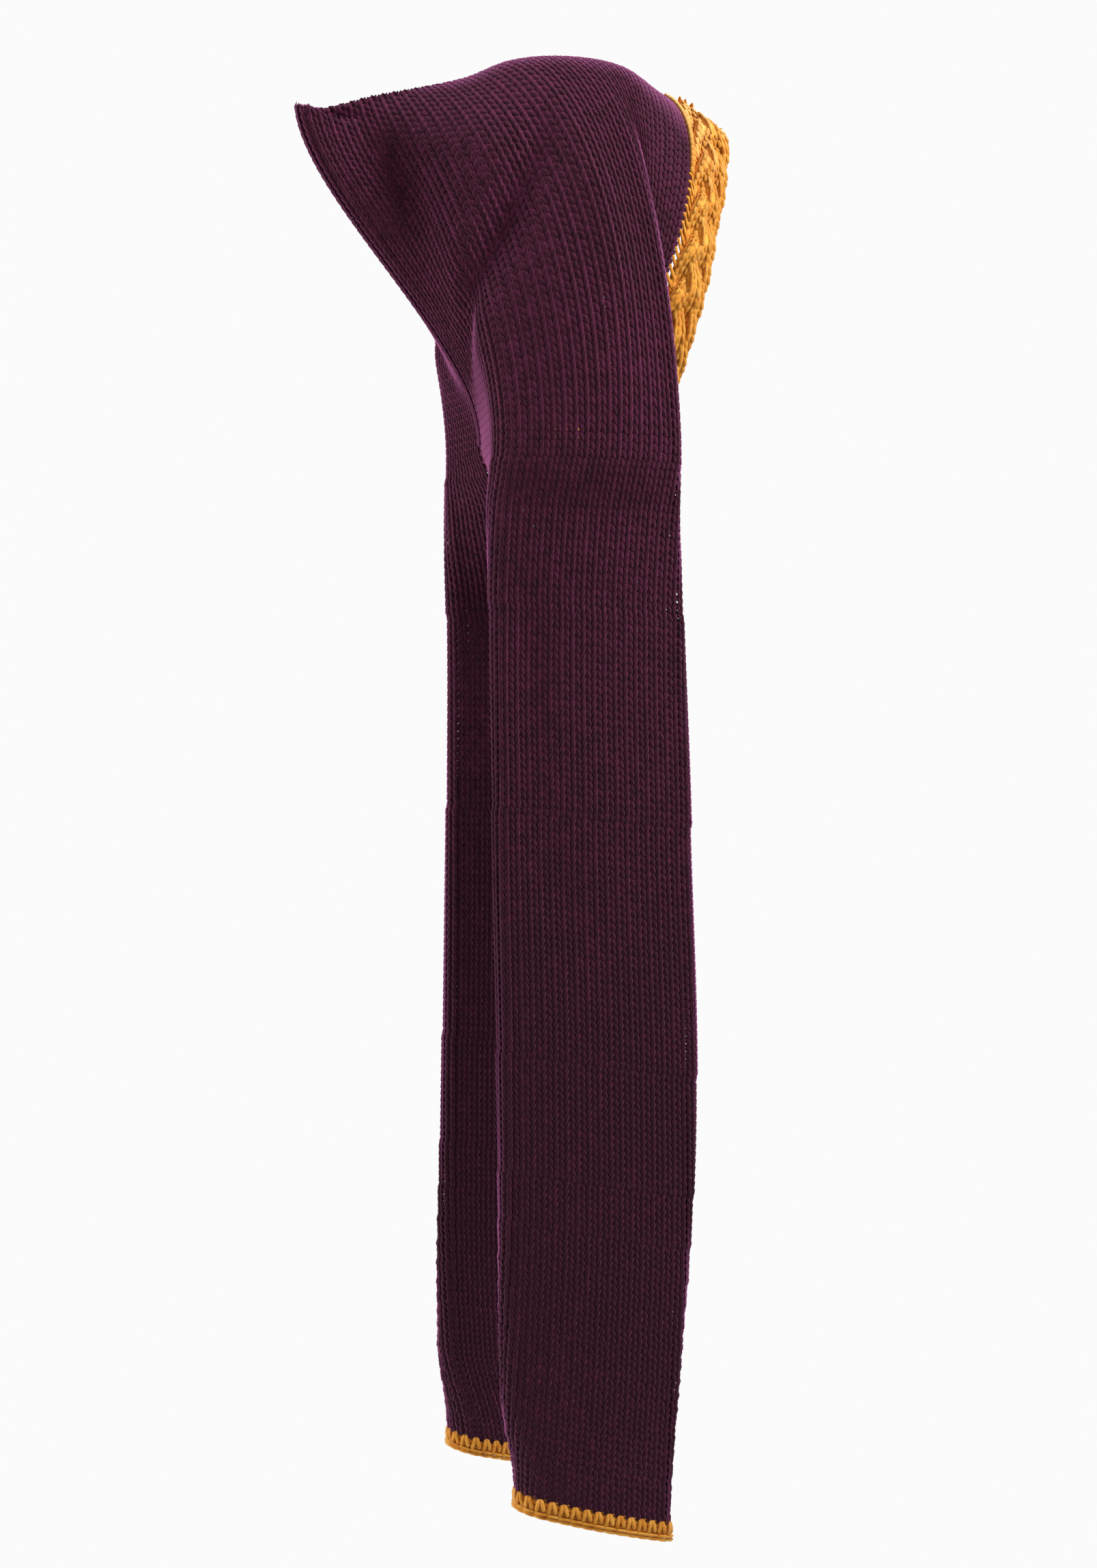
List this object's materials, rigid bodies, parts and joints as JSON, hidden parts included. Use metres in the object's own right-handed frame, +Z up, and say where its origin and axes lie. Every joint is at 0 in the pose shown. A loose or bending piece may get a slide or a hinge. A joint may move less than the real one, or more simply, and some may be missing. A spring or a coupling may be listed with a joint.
{
  "type": "knit costume hood",
  "caption": "Hooded scarf in chunky knit with a pointed back corner, a cable-knit brim round the face and long hanging tails with a contrasting knitted edge",
  "frame": {"origin": "the inside of the crown, in the middle, where a head carries the hood", "axes": "+Z up, +X the wearer's left, -Y the way the face looks"},
  "size_m": [0.2234, 0.3305, 1.0758],
  "materials": {
    "plum_knit": "chunky plain knit in bulky acrylic yarn, soft and a little fuzzy",
    "mustard_knit": "chunky cable knit and knitted edging in bulky acrylic yarn"
  },
  "bodies": {
    "root": {"hood": "plum_knit", "tail_right": "plum_knit", "tail_left": "plum_knit", "brim_band": "mustard_knit", "hem_right": "mustard_knit", "hem_left": "mustard_knit"}
  },
  "joints": []
}
